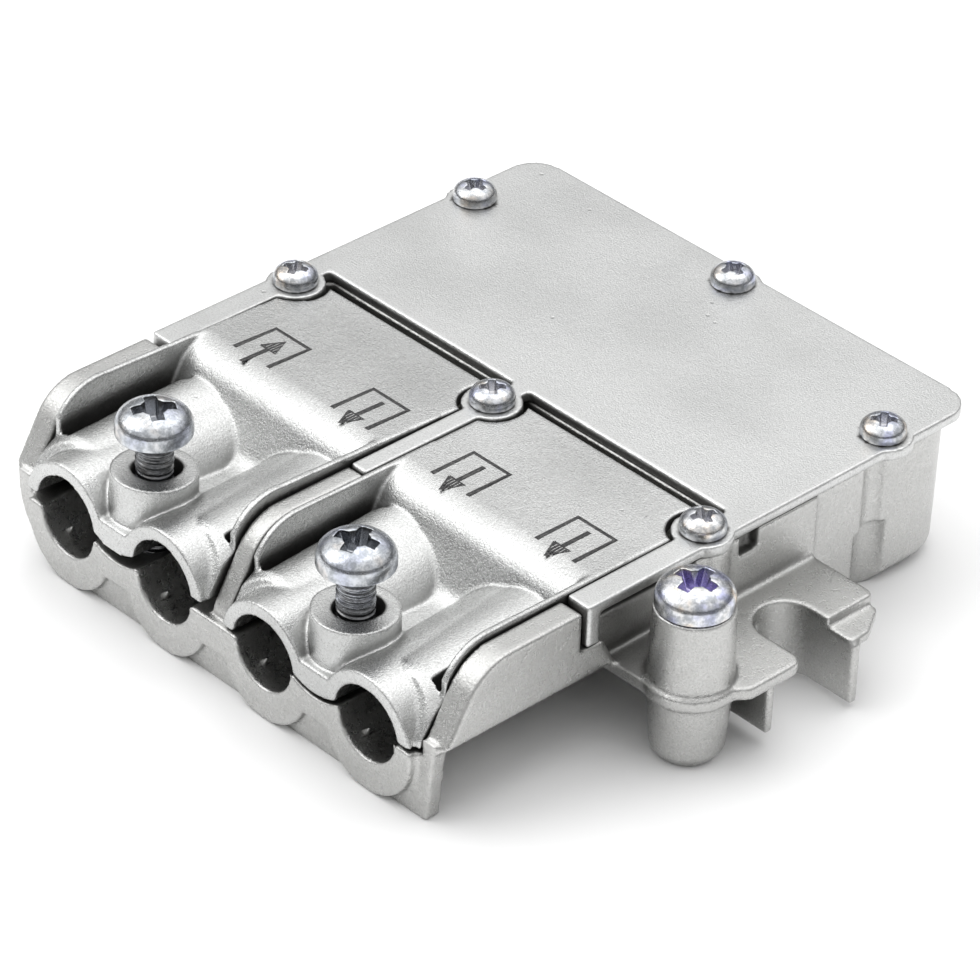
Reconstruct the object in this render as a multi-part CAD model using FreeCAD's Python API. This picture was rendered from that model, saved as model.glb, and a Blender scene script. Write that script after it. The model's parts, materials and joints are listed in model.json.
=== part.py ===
import FreeCAD, Part
import math
import os

from FreeCAD import Vector

# Screw-clamp coaxial splitter, a die-cast box with one cable entry and three exits in a row.
# While it is modelled, X runs along the row of ports, Y from the port faces to the rear and Z up
# from the ground. The finished parts are moved so that the origin is at the middle of the footprint.
# Sizes are in millimetres, and angles are in degrees where the name says so.

# Cutting tools reach this far past every face, and joined solids lap by this much
far = 100.0
lap = 0.5

# Ports
port_pitch = 15.0
bore_radius = 4.05
bore_axis_height = 7.75
bore_depth = 15.6
core_passage_radius = 2.7
rim_radius = 6.3
rim_depth = 2.8
trough_wall = 1.15
parting_height = 7.6
parting_dip = 0.8
parting_dip_half_width = 3.2
land_height = 3.6

# Body
side_margin = 2.4
top_height = 17.4
cover_thickness = 1.2
side_wall = 3.0
side_wall_bottom = 9.4
deck_thickness = 1.2
nose_setback = 1.0
nose_start_height = 8.4
nose_length = 5.0
nose_round = 6.0
nose_lower_round = 2.0
wall_drop = 0.2
apron_thickness = 1.8
apron_left_round = 8.0
apron_left_inset = 1.0
apron_right_round = 0.4
apron_right_inset = 1.3
apron_right_taper = 0.9
mid_wall = 2.28
box_front = 40.15
box_rear = 74.1
box_inset = 0.4
box_draft = 0.2
box_front_round = 0.3
box_corner_round = 6.5
box_foot_chamfer = 1.3
box_foot_height = 1.6
channel_rear = 41.4
channel_floor = 13.5
divider_thickness = 2.25
chamber_wall = 3.0
chamber_rear_wall = 1.7
chamber_front_round = 1.0
chamber_rear_round = 5.0
floor_thickness = 1.6
well_front = 23.0
well_floor_height = 5.5
well_wall = 1.2
well_margin = 3.3

# Side details
cover_tab_height = 3.5
cover_tab_width = 1.7
cover_tab_thickness = 1.0
tab_gap = 0.8
tab_seat_gap = 0.1
tab_seat_length = 1.5
recess_depth = 1.6
recess_end = 34.3
recess_corner_height = 13.6
recess_slant = 2.4
slot_height = 2.0
slot_wall = 0.6
slot_end = 31.2
rear_window_start = 0.3
rear_window_depth = 1.5
rear_window_length = 2.6
rear_window_height = 2.4
side_pad_length = 11.4
groove_y = 60.3
groove_radius = 2.0
groove_depth = 0.9
foot_groove_radius = 2.6
foot_groove_depth = 1.8
foot_groove_height = 8.0

# Cover
cover_front = 41.5
cover_overhang = 0.4
finger_front = 19.7
middle_finger_lead = 0.6
finger_gap = 0.1
finger_round = 0.2
bay_round = 0.4
cover_corner_round = 3.5
pad_radius = 3.2
cover_hole_radius = 1.45
front_screw_y = 37.4
side_screw_inset = 2.3
rear_side_screw_y = 63.1
rear_screw_setback = 2.4
column_radius = 2.9

# Small cover screws
cover_screw_radius = 1.25
cover_screw_length = 8.0
cover_head_radius = 2.4
cover_head_height = 1.9

# Clamps
clamp_rear = 39.6
clamp_gap = 0.22
clamp_plate = 1.5
clamp_edge_round = 0.3
clamp_flange = 0.75
clamp_flange_bottom = 13.6
flange_front = 4.2
flange_tip_height = 12.9
flange_tip_rise = 1.1
clamp_arc_radius = 4.5
clamp_arc_growth = 0.4
clamp_throat = 7.75
clamp_seat_gap = 0.1
arc_end_gap = 0.6
ring_wall = 1.55
ring_growth = 1.0
shoulder_shift = 2.2
shoulder_height = 6.5
shoulder_start_radius = 5.2
shoulder_front_radius = 7.0
shoulder_rear_radius = 8.2
shoulder_end = 20.2
shoulder_corner_round = 2.5
lip_offset = 4.3
pocket_front = 4.4
pocket_rear = 18.4
pocket_floor = 10.4
clamp_bed_height = 9.7
slope_top_y = 21.5
slope_run = 4.3
slope_top_round = 4.5
slope_foot_round = 3.0
boss_y = 5.4
dip_reach = 4.0
dip_gap = 0.2
boss_radius = 4.5
boss_height = 14.6
boss_hole_radius = 2.3
boss_hole_slack = 0.7
pad_clearance = 0.45
hinge_y = 33.0
hinge_radius = 1.0
hinge_length = 0.9
hinge_end_gap = 0.2
hinge_bay_front = 1.6
hinge_bay_rear = 2.4
hinge_clearance = 0.05
hinge_head_gap = 0.1
left_clamp_open_deg = 2.4
right_clamp_open_deg = 0.7

# Large screws
screw_radius = 2.0
screw_head_radius = 4.0
screw_head_height = 3.1
thread_clearance = 0.04
clamp_screw_length = 15.0
clamp_screw_head_base = 20.0
clamp_screw_boss_radius = 3.6
clamp_screw_boss_foot = 0.6
hole_spare = 1.5
ground_screw_length = 12.0

# Shape of a pan head and of its recess, as shares of the head's own sizes
screw_tip = 0.5
head_side = 0.4
head_bulge = 0.86
head_bulge_height = 0.8
head_crown = 0.5
recess_reach = 0.62
recess_wing = 0.13
recess_share = 0.6
recess_end_share = 0.35

# Fixing lug with the ground post
lug_top = 9.2
lug_thickness = 1.5
lug_front = 23.5
lug_front_reach = 3.5
lug_front_run = 7.0
lug_width = 11.8
lug_root = 1.0
lug_rear = 51.2
lug_rear_width = 8.6
lug_step = 1.0
lug_step_thickness = 1.2
lug_step_length = 2.6
lug_step_inset = 0.6
lug_round = 1.5
lug_rear_round = 0.8
lug_tip_round = 0.5
post_offset = 6.0
post_y = 28.0
post_top_radius = 4.1
post_middle_radius = 4.4
post_low_radius = 4.25
post_foot_radius = 3.8
post_foot_chamfer = 0.8
post_foot_height = 1.2
post_drop = 0.1
collar_radius = 4.9
notch_offset = 6.2
notch_y = 41.2
notch_radius = 3.3
skirt_wall = 1.1
skirt_foot = 0.7
skirt_cut = 1.0
tail_reach = 0.4
lug_rib_y = 34.3
lug_rib = 1.0
lug_rib_inset = 1.2
lug_rib_foot = 0.5

# Inside
board_thickness = 1.6
board_gap = 0.5
board_ledge = 3.0
contact_radius = 1.5
contact_bore_radius = 0.6
contact_front = 26.1
contact_socket_length = 7.0
contact_socket_wall = 1.0
contact_blade_width = 1.0
contact_blade_thickness = 0.5
contact_tail = 5.0
contact_fit = 0.05
insulator_half = 2.2
insulator_flange_half = 2.8
insulator_flange = 0.5
insulator_lead = 0.1
carrier_front = 24.6
carrier_length = 10.4
carrier_height = 7.1
carrier_side = 3.1
carrier_funnel_half = 2.2
carrier_lead_half = 0.7
core_width = 4.4
core_length = 3.4
core_height = 2.6
core_hole_radius = 0.6
core_stagger = 3.0
wire_size = 0.5
wire_round = 0.6
wire_reach = 0.6
chip_length = 1.6
chip_width = 0.8
capacitor_height = 0.8
resistor_height = 0.45
chip_gap = 2.0
resistor_shift = 2.0

# Places worked out from the sizes above
half_width = 2 * port_pitch + side_margin
port_xs = [port_pitch * (index - 1.5) for index in range(4)]
pair_x = port_pitch
cover_bottom = top_height - cover_thickness
cover_rear = box_rear + cover_overhang
wall_inner = half_width - side_wall
side_screw_x = half_width - side_screw_inset
rear_screw_y = cover_rear - rear_screw_setback
chamber_front = box_front + divider_thickness
chamber_rear = box_rear - chamber_rear_wall
chamber_half = half_width - box_inset - chamber_wall
clamp_inner = mid_wall / 2 + clamp_gap
clamp_outer = wall_inner - clamp_gap
clamp_arc_height = bore_axis_height - bore_radius + clamp_throat - clamp_arc_radius
clamp_bottom = parting_height + clamp_seat_gap
walls_top = top_height - wall_drop
deck_bottom = parting_height - deck_thickness
board_height = bore_axis_height - contact_blade_thickness / 2
board_front = chamber_front + board_gap + insulator_flange
post_x = half_width + post_offset
notch_x = half_width + notch_offset
lug_reach = half_width + lug_width
lug_rear_reach = half_width + lug_rear_width
lug_bottom = lug_top - lug_thickness
wall_outside = half_width + lap
hinge_height = cover_bottom - hinge_head_gap - hinge_radius
screw_places = [
    (-side_screw_x, front_screw_y),
    (0.0, front_screw_y),
    (side_screw_x, front_screw_y),
    (-side_screw_x, rear_side_screw_y),
    (side_screw_x, rear_side_screw_y),
    (0.0, rear_screw_y),
]


def block(x0, x1, y0, y1, z0, z1):
    return Part.makeBox(x1 - x0, y1 - y0, z1 - z0, Vector(x0, y0, z0))


def rod_x(y, z, radius, x0, x1):
    return Part.makeCylinder(radius, x1 - x0, Vector(x0, y, z), Vector(1, 0, 0))


def rod_y(x, z, radius, y0, y1):
    return Part.makeCylinder(radius, y1 - y0, Vector(x, y0, z), Vector(0, 1, 0))


def rod_z(x, y, radius, z0, z1):
    return Part.makeCylinder(radius, z1 - z0, Vector(x, y, z0), Vector(0, 0, 1))


def cone_y(x, z, radius0, radius1, y0, y1):
    return Part.makeCone(radius0, radius1, y1 - y0, Vector(x, y0, z), Vector(0, 1, 0))


def cone_z(x, y, radius0, radius1, z0, z1):
    return Part.makeCone(radius0, radius1, z1 - z0, Vector(x, y, z0), Vector(0, 0, 1))


def union(shapes):
    whole = shapes[0]
    for shape in shapes[1:]:
        whole = whole.fuse(shape)
    return whole


def minus(shape, tools):
    for tool in tools:
        shape = shape.cut(tool)
    return shape


def rounded_wire(corners, place):
    """Closed outline through the corners (a, b, radius), each rounded by a tangent arc."""
    points = [place(a, b) for a, b, radius in corners]
    starts = []
    ends = []
    middles = []
    for index, (a, b, radius) in enumerate(corners):
        corner = points[index]
        before = (points[index - 1] - corner).normalize()
        after = (points[(index + 1) % len(points)] - corner).normalize()
        if radius <= 0:
            starts.append(corner)
            ends.append(corner)
            middles.append(None)
            continue
        half_turn = before.getAngle(after) / 2
        reach = radius / math.tan(half_turn)
        centre_way = (before + after).normalize()
        centre = corner + centre_way * (radius / math.sin(half_turn))
        starts.append(corner + before * reach)
        ends.append(corner + after * reach)
        middles.append(centre - centre_way * radius)
    edges = []
    for index in range(len(points)):
        if middles[index] is not None:
            edges.append(Part.Arc(starts[index], middles[index], ends[index]).toShape())
        following = (index + 1) % len(points)
        if (starts[following] - ends[index]).Length > 1e-6:
            edges.append(Part.LineSegment(ends[index], starts[following]).toShape())
    return Part.Wire(edges)


def prism_x(corners, x0, x1):
    """Outline in the YZ plane, drawn as (y, z, radius), pushed from x0 to x1."""
    wire = rounded_wire(corners, lambda a, b: Vector(x0, a, b))
    return Part.Face(wire).extrude(Vector(x1 - x0, 0, 0))


def prism_y(corners, y0, y1):
    """Outline in the XZ plane, drawn as (x, z, radius), pushed from y0 to y1."""
    wire = rounded_wire(corners, lambda a, b: Vector(a, y0, b))
    return Part.Face(wire).extrude(Vector(0, y1 - y0, 0))


def prism_z(corners, z0, z1):
    """Outline in the XY plane, drawn as (x, y, radius), pushed from z0 to z1."""
    wire = rounded_wire(corners, lambda a, b: Vector(a, b, z0))
    return Part.Face(wire).extrude(Vector(0, 0, z1 - z0))


def mirrored(shape):
    return shape.mirror(Vector(0, 0, 0), Vector(1, 0, 0))


def both_sides(shape):
    return [shape, mirrored(shape)]


def nose_corners(top, rear, bottom):
    """Side view of the walls beside the ports, with the front swept up and back."""
    return [
        (nose_setback, bottom, 0),
        (nose_setback, nose_start_height, nose_lower_round),
        (nose_setback + nose_length, top, nose_round),
        (rear, top, 0),
        (rear, bottom, 0),
    ]


def nose_y(height):
    """Place of the swept nose line at a height between its lower and upper ends."""
    share = (height - nose_start_height) / (top_height - nose_start_height)
    return nose_setback + nose_length * share


def tray():
    """Deck and side walls that flank the clamps, one section pushed back and trimmed in side view."""
    slope = side_wall_bottom - deck_bottom + lap
    half = [
        (half_width, side_wall_bottom, 0),
        (half_width, top_height, 0),
        (wall_inner, top_height, 0),
        (wall_inner, parting_height, 0),
    ]
    other = [(-x, z, radius) for x, z, radius in reversed(half)]
    under = [(-half_width + slope, deck_bottom, 0), (half_width - slope, deck_bottom, 0)]
    section = prism_y(half + other + under, nose_setback, chamber_front)
    trim = prism_x(nose_corners(walls_top, cover_rear, -lap), -far, far)
    return section.common(trim)


def middle_wall():
    corners = nose_corners(walls_top, box_front + lap, deck_bottom)
    return prism_x(corners, -mid_wall / 2, mid_wall / 2)


def apron():
    """Front plate that reaches the ground, with its left end rounded and its right end a slim foot."""
    right = half_width - apron_right_inset
    corners = [
        (-half_width + apron_left_inset, side_wall_bottom, 0),
        (-half_width + apron_left_inset, 0, apron_left_round),
        (right - apron_right_taper, 0, apron_right_round),
        (right, side_wall_bottom, 0),
    ]
    plate = prism_y(corners, nose_setback, nose_setback + apron_thickness)
    above = block(-wall_inner, wall_inner, 0, far, parting_height, side_wall_bottom + lap)
    return plate.cut(above)


def port_fronts():
    """Round rims of the four ports, the lands between them and the troughs behind them."""
    parts = []
    for x in port_xs:
        parts.append(rod_y(x, rim_radius, rim_radius, 0, rim_depth))
        trough_end = bore_depth + trough_wall
        parts.append(rod_y(x, bore_axis_height, bore_radius + trough_wall, nose_setback, trough_end))
        parts.append(rod_y(x, bore_axis_height, core_passage_radius + trough_wall, bore_depth,
                           well_front + lap))
    lands = block(port_xs[0], port_xs[-1], 0, rim_depth, parting_height - land_height, parting_height)
    whole = union(parts + [lands])
    return whole.cut(block(-far, far, -far, far, parting_height, far))


def electronics_box():
    """Drafted box under the cover, lofted from its chamfered foot to its top outline."""
    half = half_width - box_inset

    def outline(height, inset):
        corners = [
            (-half + inset, box_front, box_front_round),
            (half - inset, box_front, box_front_round),
            (half - inset, box_rear - inset, box_corner_round),
            (-half + inset, box_rear - inset, box_corner_round),
        ]
        return rounded_wire(corners, lambda a, b: Vector(a, b, height))

    sections = [
        outline(0, box_draft + box_foot_chamfer),
        outline(box_foot_height, box_draft),
        outline(cover_bottom, 0),
    ]
    return Part.makeLoft(sections, True, True)


def contact_wells():
    """Two shallow wells behind the ports, which hold the plastic contact carriers."""
    reach = port_pitch / 2 + well_margin + well_wall
    outer = block(pair_x - reach, pair_x + reach, well_front, box_front + lap,
                  well_floor_height - well_wall, parting_height)
    return both_sides(outer)


def well_pockets():
    reach = port_pitch / 2 + well_margin
    pocket = block(pair_x - reach, pair_x + reach, well_front + well_wall, box_front - well_wall,
                   well_floor_height, parting_height + lap)
    return both_sides(pocket)


def side_details():
    """Screw columns, the pads beside the lug and the bosses that take the clamp screws."""
    parts = []
    for x, y in screw_places[:3]:
        parts.append(rod_z(x, y, column_radius, lug_bottom, cover_bottom))
    pad = block(wall_inner, half_width, box_front, box_front + side_pad_length, lug_bottom, cover_bottom)
    parts += both_sides(pad)
    boss = rod_z(pair_x, boss_y, clamp_screw_boss_radius, clamp_screw_boss_foot, parting_height)
    parts += both_sides(boss)
    return parts


def lug_plate():
    """Flat plate of the lug, with its front corner cut slantwise and a lower step at its rear tip."""
    root = wall_inner + lug_root
    front = prism_z([
        (root, lug_front, 0),
        (post_x, lug_front, lug_tip_round),
        (lug_reach, lug_front + lug_front_run, lug_round),
        (lug_reach, notch_y - notch_radius, lug_round),
        (notch_x, notch_y - notch_radius, 0),
        (root, notch_y - notch_radius, 0),
    ], lug_bottom, lug_top)
    rear = prism_z([
        (root, notch_y - notch_radius - lap, 0),
        (notch_x, notch_y - notch_radius - lap, 0),
        (notch_x, notch_y, 0),
        (lug_rear_reach, notch_y, 0),
        (lug_rear_reach, lug_rear, lug_rear_round),
        (root, lug_rear, 0),
    ], lug_bottom, lug_top)
    step_front = notch_y + notch_radius
    step_rear = lug_rear - lug_step_inset
    step = prism_z([
        (lug_rear_reach - lap, step_front, 0),
        (lug_reach, step_front, lug_tip_round),
        (lug_reach, step_front + lug_step_length, lug_round),
        (lug_rear_reach + lug_step, step_rear, lug_rear_round),
        (lug_rear_reach - lap, step_rear, 0),
    ], lug_top - lug_step - lug_step_thickness, lug_top - lug_step)
    return [front, rear, step]


def lug_skirt():
    """Wall that hangs from the lug around the rear half of its notch, with a rib nearer the post."""
    outer = notch_radius + skirt_wall
    skirt = rod_z(notch_x, notch_y, outer, skirt_foot, lug_bottom + lap)
    skirt = skirt.cut(block(-far, far, -far, notch_y - skirt_cut, -far, far))
    tail = block(notch_x, lug_reach + tail_reach, notch_y + notch_radius, notch_y + outer,
                 skirt_foot, lug_bottom)
    rib = block(wall_inner + lug_root, lug_reach - lug_rib_inset, lug_rib_y, lug_rib_y + lug_rib,
                skirt_foot + lug_rib_foot, lug_bottom)
    return [skirt, tail, rib]


def ground_post():
    """Full-height post, drafted both ways from the lug, with a chamfered foot and a collar."""
    return [
        cone_z(post_x, post_y, post_foot_radius - post_foot_chamfer, post_foot_radius, 0, post_foot_height),
        cone_z(post_x, post_y, post_foot_radius, post_low_radius, post_foot_height, lug_bottom),
        cone_z(post_x, post_y, post_middle_radius, post_top_radius, lug_bottom, top_height - post_drop),
        rod_z(post_x, post_y, collar_radius, lug_bottom, lug_top),
    ]


def lug():
    """Fixing lug at mid height, with its open notch, skirt, rib and full-height ground post."""
    whole = union(lug_plate() + lug_skirt() + ground_post())
    slot = rod_z(notch_x, notch_y, notch_radius, -far, far)
    mouth = block(notch_x, far, notch_y - notch_radius, notch_y + notch_radius, -far, far)
    hole = rod_z(post_x, post_y, screw_radius + thread_clearance,
                 top_height - ground_screw_length - hole_spare, far)
    return minus(whole, [slot, mouth, hole])


def chamber():
    """Hollow of the closed box, round its rear screw columns and the four ledges of the board."""
    hollow = prism_z([
        (-chamber_half, chamber_front, chamber_front_round),
        (chamber_half, chamber_front, chamber_front_round),
        (chamber_half, chamber_rear, chamber_rear_round),
        (-chamber_half, chamber_rear, chamber_rear_round),
    ], floor_thickness, cover_bottom + lap)
    kept = [rod_z(x, y, column_radius, 0, far) for x, y in screw_places[3:]]
    for x in (-chamber_half, chamber_half - board_ledge):
        for y in (chamber_front, chamber_rear - board_ledge):
            kept.append(block(x, x + board_ledge, y, y + board_ledge, 0, board_height - board_thickness))
    return minus(hollow, kept)


def port_cuts():
    """Bores of the ports, the passages to the contacts and the seats of the insulators."""
    tools = []
    seat = insulator_half + contact_fit
    for x in port_xs:
        tools.append(rod_y(x, bore_axis_height, bore_radius, -lap, bore_depth))
        tools.append(rod_y(x, bore_axis_height, core_passage_radius, 0, well_front + well_wall + lap))
        tools.append(block(x - seat, x + seat, box_front - well_wall - lap, chamber_front + lap,
                           bore_axis_height - seat, bore_axis_height + seat))
    return tools


def clamp_cuts():
    """Dips between the ports, holes of the clamp screws and open seats of the hinge pins."""
    dip_radius = (parting_dip_half_width ** 2 + parting_dip ** 2) / (2 * parting_dip)
    dip = rod_y(pair_x, parting_height - parting_dip + dip_radius, dip_radius, -lap, boss_y + dip_reach)
    hole = rod_z(pair_x, boss_y, screw_radius + thread_clearance, -lap, far)
    seat = hinge_radius + hinge_clearance
    seat_end = clamp_outer + hinge_length + hinge_end_gap
    round_seat = rod_x(hinge_y, hinge_height, seat, -seat_end, seat_end)
    open_top = block(-seat_end, seat_end, hinge_y - seat, hinge_y + seat, hinge_height, far)
    channel = block(-chamber_half, chamber_half, box_front, channel_rear, channel_floor, far)
    return both_sides(dip) + both_sides(hole) + [round_seat, open_top, channel]


def side_cuts():
    """Seats of the cover's tabs and the recesses, slots, windows and grooves in the side walls."""
    tab_rear = finger_front + cover_tab_width
    tab_seat = block(half_width - cover_tab_thickness - tab_seat_gap, wall_outside, finger_front - tab_gap,
                     tab_rear + tab_seat_length, cover_bottom - cover_tab_height - tab_seat_gap, far)
    recess = prism_x([
        (tab_rear, top_height, 0),
        (tab_rear, recess_corner_height, 0),
        (tab_rear + recess_slant, lug_top, 0),
        (recess_end, lug_top, 0),
        (recess_end, top_height, 0),
    ], half_width - recess_depth, wall_outside)
    slot = block(wall_inner + slot_wall, wall_outside, tab_rear, slot_end, cover_bottom - slot_height, far)
    window_start = box_front + rear_window_start
    window = block(half_width - rear_window_depth, wall_outside, window_start,
                   window_start + rear_window_length, cover_bottom - rear_window_height, far)
    half = half_width - box_inset
    groove = rod_z(half + groove_radius - groove_depth, groove_y, groove_radius, -lap, far)
    foot_groove = rod_z(half + foot_groove_radius - foot_groove_depth, groove_y, foot_groove_radius,
                        -lap, foot_groove_height)
    tools = []
    for tool in (tab_seat, recess, slot, window, groove, foot_groove):
        tools += both_sides(tool)
    return tools


def screw_holes():
    depth = cover_screw_length + hole_spare
    return [rod_z(x, y, cover_screw_radius + thread_clearance, top_height - depth, far)
            for x, y in screw_places]


def chassis():
    """Die-cast body in one piece: ports, walls, deck, contact wells, closed box and fixing lug."""
    solid_parts = [electronics_box(), tray(), middle_wall(), apron(), port_fronts(), lug()]
    body = union(solid_parts + contact_wells() + side_details())
    above = block(-far, far, finger_front - tab_gap, far, cover_bottom, far)
    lug_only = block(wall_outside, far, -far, far, cover_bottom, far)
    tools = [chamber(), above.cut(lug_only)]
    tools += well_pockets() + port_cuts() + clamp_cuts() + side_cuts() + screw_holes()
    return minus(body, tools).removeSplitter()


def cover():
    """Flat lid with three fingers that hold down the hinge pins of the clamps."""
    finger_inner = wall_inner - finger_gap
    mid = mid_wall / 2
    plate = prism_z([
        (-half_width, finger_front, finger_round),
        (-finger_inner, finger_front, finger_round),
        (-finger_inner, cover_front, bay_round),
        (-mid, cover_front, bay_round),
        (-mid, finger_front - middle_finger_lead, finger_round),
        (mid, finger_front - middle_finger_lead, finger_round),
        (mid, cover_front, bay_round),
        (finger_inner, cover_front, bay_round),
        (finger_inner, finger_front, finger_round),
        (half_width, finger_front, finger_round),
        (half_width, cover_rear, cover_corner_round),
        (-half_width, cover_rear, cover_corner_round),
    ], cover_bottom, top_height)
    pads = [rod_z(x, y, pad_radius, cover_bottom, top_height) for x, y in screw_places]
    tab = block(half_width - cover_tab_thickness, half_width, finger_front,
                finger_front + cover_tab_width, cover_bottom - cover_tab_height, cover_bottom + lap)
    lid = union([plate] + pads + both_sides(tab))
    holes = [rod_z(x, y, cover_hole_radius, 0, far) for x, y in screw_places]
    return minus(lid, holes).removeSplitter()


def nose_prism(x0, x1):
    return prism_x(nose_corners(top_height, clamp_rear + lap, 0), x0, x1)


def clamp_flanges():
    """Thin upright edges of a clamp, which start behind its barrels and run back to the hinge."""
    tip_y = nose_y(flange_tip_height + flange_tip_rise)
    line = [
        (flange_front, clamp_bottom, 0),
        (flange_front, flange_tip_height, 0),
        (tip_y, flange_tip_height + flange_tip_rise, 0),
        (nose_setback + nose_length, top_height, nose_round),
        (clamp_rear, top_height, clamp_edge_round),
        (clamp_rear, top_height - clamp_plate, 0),
        (hinge_y + hinge_bay_rear, top_height - clamp_plate, 0),
        (hinge_y + hinge_bay_front, clamp_flange_bottom, 0),
        (well_front, clamp_flange_bottom, 0),
        (well_front - clamp_plate, clamp_bottom, 0),
    ]
    return [
        prism_x(line, clamp_inner, clamp_inner + clamp_flange),
        prism_x(line, clamp_outer - clamp_flange, clamp_outer),
    ]


def clamp_skin():
    """Top plate, the slope in front of it and the low bed between the barrels, in one bent section."""
    plate_bottom = top_height - clamp_plate
    slope_foot = slope_top_y - slope_run
    skin = prism_x([
        (clamp_rear, top_height, clamp_edge_round),
        (slope_top_y, top_height, slope_top_round),
        (slope_foot, clamp_bed_height, slope_foot_round),
        (0, clamp_bed_height, clamp_edge_round),
        (0, clamp_bottom, 0),
        (slope_foot, clamp_bottom, slope_foot_round),
        (slope_top_y + clamp_plate / 2, plate_bottom, slope_top_round - clamp_plate),
        (clamp_rear, plate_bottom, 0),
    ], clamp_inner, clamp_outer)
    between_ports = block(pair_x - port_pitch / 2, pair_x + port_pitch / 2, -lap, far, 0, far)
    return skin.common(nose_prism(clamp_inner, clamp_outer).fuse(between_ports))


def barrel(x, side):
    """Half barrel over one port: a ring at the front and a shoulder that swells to the outer side."""
    side_x = clamp_outer if side > 0 else clamp_inner
    lip_x = x + side * lip_offset
    ring = cone_y(x, clamp_arc_height, clamp_arc_radius + ring_wall,
                  clamp_arc_radius + ring_wall + ring_growth, 0, shoulder_end)
    middle = x + side * shoulder_shift
    swell = cone_y(middle, shoulder_height, shoulder_start_radius, shoulder_front_radius,
                   nose_setback, pocket_front)
    shoulder = cone_y(middle, shoulder_height, shoulder_front_radius, shoulder_rear_radius,
                      pocket_front, shoulder_end)
    bulk = ring.fuse(swell.fuse(shoulder).common(nose_prism(clamp_inner, clamp_outer)))
    plan = prism_z([
        (side_x, 0, 0),
        (side_x, pocket_front, 0),
        (lip_x, pocket_front, 0),
        (lip_x, shoulder_end, shoulder_corner_round),
        (pair_x, shoulder_end, 0),
        (pair_x, 0, 0),
    ], clamp_bottom, far)
    low, high = sorted((side_x, lip_x - side * lap))
    floor = block(low, high, flange_front, pocket_rear, clamp_bottom, pocket_floor)
    return bulk.common(plan).fuse(floor)


def barrel_hollow(x):
    """Arc that presses on the cable, a little wider to the rear, and the passage to the contact."""
    length = bore_depth + arc_end_gap
    arc = cone_y(x, clamp_arc_height, clamp_arc_radius, clamp_arc_radius + clamp_arc_growth, -lap, length)
    passage = rod_y(x, bore_axis_height, core_passage_radius, bore_depth, well_front + lap)
    return arc.fuse(passage)


def right_clamp():
    """Right clamp when closed: plate, slope, flanges, two barrels, screw boss and hinge pins."""
    parts = clamp_flanges() + [clamp_skin()]
    hollows = []
    for side in (-1, 1):
        x = pair_x + side * port_pitch / 2
        parts.append(barrel(x, side))
        hollows.append(barrel_hollow(x))
    parts.append(rod_z(pair_x, boss_y, boss_radius, clamp_bottom, boss_height))
    parts.append(dip_filler())
    slot = rod_z(pair_x, boss_y, boss_hole_radius, 0, far)
    slot = slot.fuse(rod_z(pair_x, boss_y + boss_hole_slack, boss_hole_radius, 0, far))
    slot = slot.fuse(block(pair_x - boss_hole_radius, pair_x + boss_hole_radius, boss_y,
                           boss_y + boss_hole_slack, 0, far))
    corners = [rod_z(x, y, pad_radius + pad_clearance, 0, far) for x, y in screw_places[1:3]]
    body = minus(union(parts), hollows + [slot] + corners)
    pins = [
        rod_x(hinge_y, hinge_height, hinge_radius, clamp_inner - hinge_length, clamp_inner + lap),
        rod_x(hinge_y, hinge_height, hinge_radius, clamp_outer - lap, clamp_outer + hinge_length),
    ]
    return union([body] + pins).removeSplitter()


def dip_filler():
    """Rounded tongue of the clamp that fills the dip in the chassis between its two ports."""
    radius = (parting_dip_half_width ** 2 + parting_dip ** 2) / (2 * parting_dip)
    rear = boss_y + dip_reach - dip_gap
    round_bar = rod_y(pair_x, clamp_bottom - parting_dip + radius, radius, 0, rear)
    return round_bar.common(block(-far, far, 0, rear, 0, clamp_bottom + lap))


def opened(clamp, angle_deg):
    """Clamp lifted at its front by the angle, about its hinge pins."""
    turned = clamp.copy()
    turned.rotate(Vector(0, hinge_y, hinge_height), Vector(1, 0, 0), -angle_deg)
    return turned


def pan_screw(radius, length, head_radius, head_height):
    """Pan-head screw, its head seated at height zero and its tip down."""
    tip = radius * screw_tip
    shoulder = Vector(head_radius, 0, head_height * head_side)
    bulge = Vector(head_radius * head_bulge, 0, head_height * head_bulge_height)
    crown = Vector(head_radius * head_crown, 0, head_height)
    points = [
        Vector(0, 0, -length),
        Vector(radius - tip, 0, -length),
        Vector(radius, 0, -length + tip),
        Vector(radius, 0, 0),
        Vector(head_radius, 0, 0),
        shoulder,
        bulge,
        crown,
        Vector(0, 0, head_height),
        Vector(0, 0, -length),
    ]
    profile = Part.Face(Part.makePolygon(points))
    return profile.revolve(Vector(0, 0, 0), Vector(0, 0, 1), 360)


def crossed(screw, head_radius, head_height):
    """Screw with the cross recess of its head cut in, its two arms narrowing towards the bottom."""
    reach = head_radius * recess_reach
    wing = head_radius * recess_wing
    depth = head_height * recess_share
    shallow = head_height - depth * recess_end_share
    for angle in (0, 90):
        arm = prism_y([
            (-reach, head_height + lap, 0),
            (-reach, shallow, 0),
            (-reach / 2, head_height - depth, 0),
            (reach / 2, head_height - depth, 0),
            (reach, shallow, 0),
            (reach, head_height + lap, 0),
        ], -wing, wing)
        arm.rotate(Vector(0, 0, 0), Vector(0, 0, 1), angle)
        screw = screw.cut(arm)
    return screw


def placed(shape, x, y, z):
    shape.translate(Vector(x, y, z))
    return shape


def cover_screw(x, y):
    screw = pan_screw(cover_screw_radius, cover_screw_length, cover_head_radius, cover_head_height)
    return placed(screw, x, y, top_height)


def clamp_screw(x):
    screw = pan_screw(screw_radius, clamp_screw_length, screw_head_radius, screw_head_height)
    return placed(crossed(screw, screw_head_radius, screw_head_height), x, boss_y, clamp_screw_head_base)


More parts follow.
